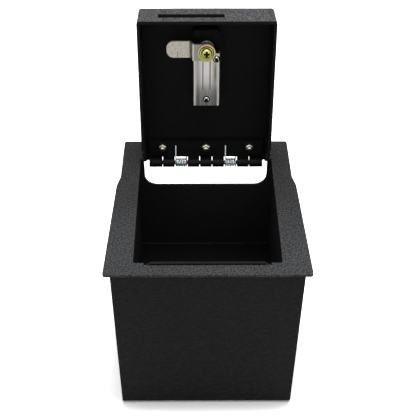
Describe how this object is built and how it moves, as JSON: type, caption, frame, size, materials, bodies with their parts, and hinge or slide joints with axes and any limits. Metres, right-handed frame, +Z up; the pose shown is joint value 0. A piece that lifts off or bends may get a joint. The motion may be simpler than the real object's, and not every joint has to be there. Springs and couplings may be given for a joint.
{
  "type": "console safe",
  "caption": "Steel drop-in safe for a vehicle's centre console: stepped tub with a top flange and a sprung lid with a cam lock.",
  "frame": {"origin": "centre of the face that the safe stands on, under the deep front part of the tub", "axes": "+Z up, +Y from the front wall to the hinge, +X to the right seen from the front"},
  "size_m": [0.1864, 0.2227, 0.3439],
  "materials": {
    "tub_coat": "matte powder coat",
    "flange_coat": "textured powder coat",
    "black_steel": "satin black",
    "bright_zinc": "bright zinc plate",
    "nickel": "satin nickel",
    "yellow_zinc": "yellow passivated zinc",
    "black_lock": "semi-gloss black",
    "dial": "black with white numbers"
  },
  "bodies": {
    "tub": {"tub_wrapper": "tub_coat", "side_wall_left": "tub_coat", "side_wall_right": "tub_coat", "flange_plate": "flange_coat", "strike_plate": "black_steel", "hinge_fixed_leaf": "black_steel", "hinge_fixed_spacer": "black_steel", "hinge_pin": "black_steel", "torsion_spring_left": "bright_zinc", "torsion_spring_right": "bright_zinc"},
    "lid": {"lid_pan": "flange_coat", "hinge_moving_leaf": "black_steel", "hinge_moving_spacer": "black_steel", "leaf_nut_left": "bright_zinc", "leaf_nut_middle": "bright_zinc", "leaf_nut_right": "bright_zinc", "leaf_stud_left": "bright_zinc", "leaf_stud_middle": "bright_zinc", "leaf_stud_right": "bright_zinc", "lock_body": "black_lock", "lock_cover": "nickel", "lock_bezel": "black_lock", "dial_axle": "bright_zinc", "cam_collar": "bright_zinc", "cover_screw_tail": "bright_zinc", "cover_screw_corner": "bright_zinc"},
    "cam_group": {"cam": "nickel", "spindle": "bright_zinc", "cam_washer": "yellow_zinc", "cam_screw": "yellow_zinc", "knob": "black_lock"},
    "dial_1": {"number_dial_1": "dial"},
    "dial_2": {"number_dial_2": "dial"},
    "dial_3": {"number_dial_3": "dial"},
    "dial_4": {"number_dial_4": "dial"}
  },
  "joints": [
    {"name": "lid_hinge", "type": "hinge", "parent": "tub", "child": "lid", "pos_m": [0, 0.1072, 0.18399], "axis": [1, 0, 0], "range_deg": [0, 100], "stiffness_Nm_per_rad": 0.4, "springref_deg": -28.65, "deforming": ["torsion_spring_left", "torsion_spring_right"]},
    {"name": "cam_turn", "type": "hinge", "parent": "lid", "child": "cam_group", "pos_m": [0, 0.12906, 0.30798], "axis": [0, 0.9848, -0.1736], "range_deg": [0, 90]},
    {"name": "dial_1_spin", "type": "hinge", "parent": "lid", "child": "dial_1", "pos_m": [0, 0.13274, 0.28905], "axis": [0, 0.1736, 0.9848], "continuous": true},
    {"name": "dial_2_spin", "type": "hinge", "parent": "lid", "child": "dial_2", "pos_m": [0, 0.13127, 0.28068], "axis": [0, 0.1736, 0.9848], "continuous": true},
    {"name": "dial_3_spin", "type": "hinge", "parent": "lid", "child": "dial_3", "pos_m": [0, 0.12979, 0.27231], "axis": [0, 0.1736, 0.9848], "continuous": true},
    {"name": "dial_4_spin", "type": "hinge", "parent": "lid", "child": "dial_4", "pos_m": [0, 0.12831, 0.26394], "axis": [0, 0.1736, 0.9848], "continuous": true}
  ]
}
